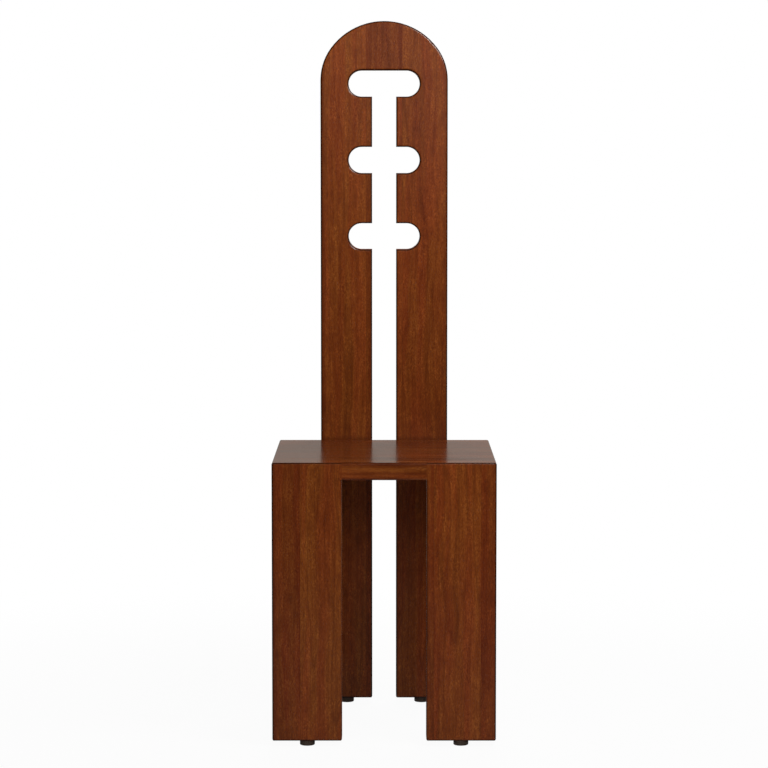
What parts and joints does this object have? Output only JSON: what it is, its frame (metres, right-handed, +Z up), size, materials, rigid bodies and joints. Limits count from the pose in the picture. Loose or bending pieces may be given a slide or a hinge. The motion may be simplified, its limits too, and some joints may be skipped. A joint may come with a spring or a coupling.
{
  "type": "tall-backed wooden chair",
  "caption": "Tall-backed chair of glued-up boards: plank front legs, flush board seat, slotted arched back that also makes the back legs, and screw levelling feet.",
  "frame": {"origin": "on the floor under the middle of the chair's outer box", "axes": "+X to the right seen from the front, +Y from the front legs to the back panel, +Z up"},
  "size_m": [0.358, 0.384, 1.169],
  "materials": {
    "panel_wood": "oiled and lacquered reddish brown hardwood, straight upright grain, satin",
    "red_panel_wood": "the same wood, redder board, satin lacquer",
    "strip_wood": "the same wood, slightly lighter, satin lacquer",
    "seat_wood": "the same wood, grain from side to side, glossier lacquer",
    "leg_wood": "the same wood, upright grain, satin lacquer",
    "dark_leg_wood": "the same wood, darker stave, satin lacquer",
    "block_wood": "the same wood, planed, thin lacquer",
    "dowel_wood": "fluted beech, bare",
    "screw_steel": "zinc plated",
    "foot_plastic": "moulded black nylon, fine texture",
    "stud_steel": "zinc plated, machined",
    "insert_brass": "machined"
  },
  "bodies": {
    "root": {"back_left_board": "panel_wood", "back_right_board": "panel_wood", "crown_board": "red_panel_wood", "back_left_strips": "strip_wood", "back_right_strips": "strip_wood", "seat_board_1": "seat_wood", "seat_board_2": "seat_wood", "seat_board_3": "seat_wood", "seat_board_4": "seat_wood", "seat_board_5": "seat_wood", "left_leg_outer_stave": "dark_leg_wood", "left_leg_inner_stave": "leg_wood", "right_leg_inner_stave": "dark_leg_wood", "right_leg_middle_stave": "leg_wood", "right_leg_outer_stave": "dark_leg_wood", "rear_cleat": "block_wood", "left_corner_block": "block_wood", "right_corner_block": "block_wood", "left_leg_dowels": "dowel_wood", "right_leg_dowels": "dowel_wood", "back_dowels": "dowel_wood", "cleat_screws": "screw_steel", "left_block_screws": "screw_steel", "right_block_screws": "screw_steel", "front_left_foot_insert": "insert_brass", "front_right_foot_insert": "insert_brass", "back_left_foot_insert": "insert_brass", "back_right_foot_insert": "insert_brass"},
    "front_left_foot": {"front_left_foot_base": "foot_plastic"},
    "front_left_stud": {"front_left_foot_stud": "stud_steel"},
    "front_right_foot": {"front_right_foot_base": "foot_plastic"},
    "front_right_stud": {"front_right_foot_stud": "stud_steel"},
    "back_left_foot": {"back_left_foot_base": "foot_plastic"},
    "back_left_stud": {"back_left_foot_stud": "stud_steel"},
    "back_right_foot": {"back_right_foot_base": "foot_plastic"},
    "back_right_stud": {"back_right_foot_stud": "stud_steel"}
  },
  "joints": [
    {"name": "front_left_foot_lift", "type": "slide", "parent": "root", "child": "front_left_foot", "axis": [0, 0, -1], "range_m": [0, 0.01]},
    {"name": "front_left_stud_turn", "type": "hinge", "parent": "front_left_foot", "child": "front_left_stud", "pos_m": [-0.12325, -0.175, 0], "axis": [0, 0, -1], "range_deg": [0, 2880]},
    {"name": "front_right_foot_lift", "type": "slide", "parent": "root", "child": "front_right_foot", "axis": [0, 0, -1], "range_m": [0, 0.01]},
    {"name": "front_right_stud_turn", "type": "hinge", "parent": "front_right_foot", "child": "front_right_stud", "pos_m": [0.12325, -0.175, 0], "axis": [0, 0, -1], "range_deg": [0, 2880]},
    {"name": "back_left_foot_lift", "type": "slide", "parent": "root", "child": "back_left_foot", "axis": [0, 0, -1], "range_m": [0, 0.01]},
    {"name": "back_left_stud_turn", "type": "hinge", "parent": "back_left_foot", "child": "back_left_stud", "pos_m": [-0.06425, 0.175, 0], "axis": [0, 0, -1], "range_deg": [0, 2880]},
    {"name": "back_right_foot_lift", "type": "slide", "parent": "root", "child": "back_right_foot", "axis": [0, 0, -1], "range_m": [0, 0.01]},
    {"name": "back_right_stud_turn", "type": "hinge", "parent": "back_right_foot", "child": "back_right_stud", "pos_m": [0.06425, 0.175, 0], "axis": [0, 0, -1], "range_deg": [0, 2880]}
  ],
  "couplings": [
    {"joint": "front_left_foot_lift", "follows": "front_left_stud_turn", "m_per_rad": 0.00019894},
    {"joint": "front_right_foot_lift", "follows": "front_right_stud_turn", "m_per_rad": 0.00019894},
    {"joint": "back_left_foot_lift", "follows": "back_left_stud_turn", "m_per_rad": 0.00019894},
    {"joint": "back_right_foot_lift", "follows": "back_right_stud_turn", "m_per_rad": 0.00019894}
  ]
}
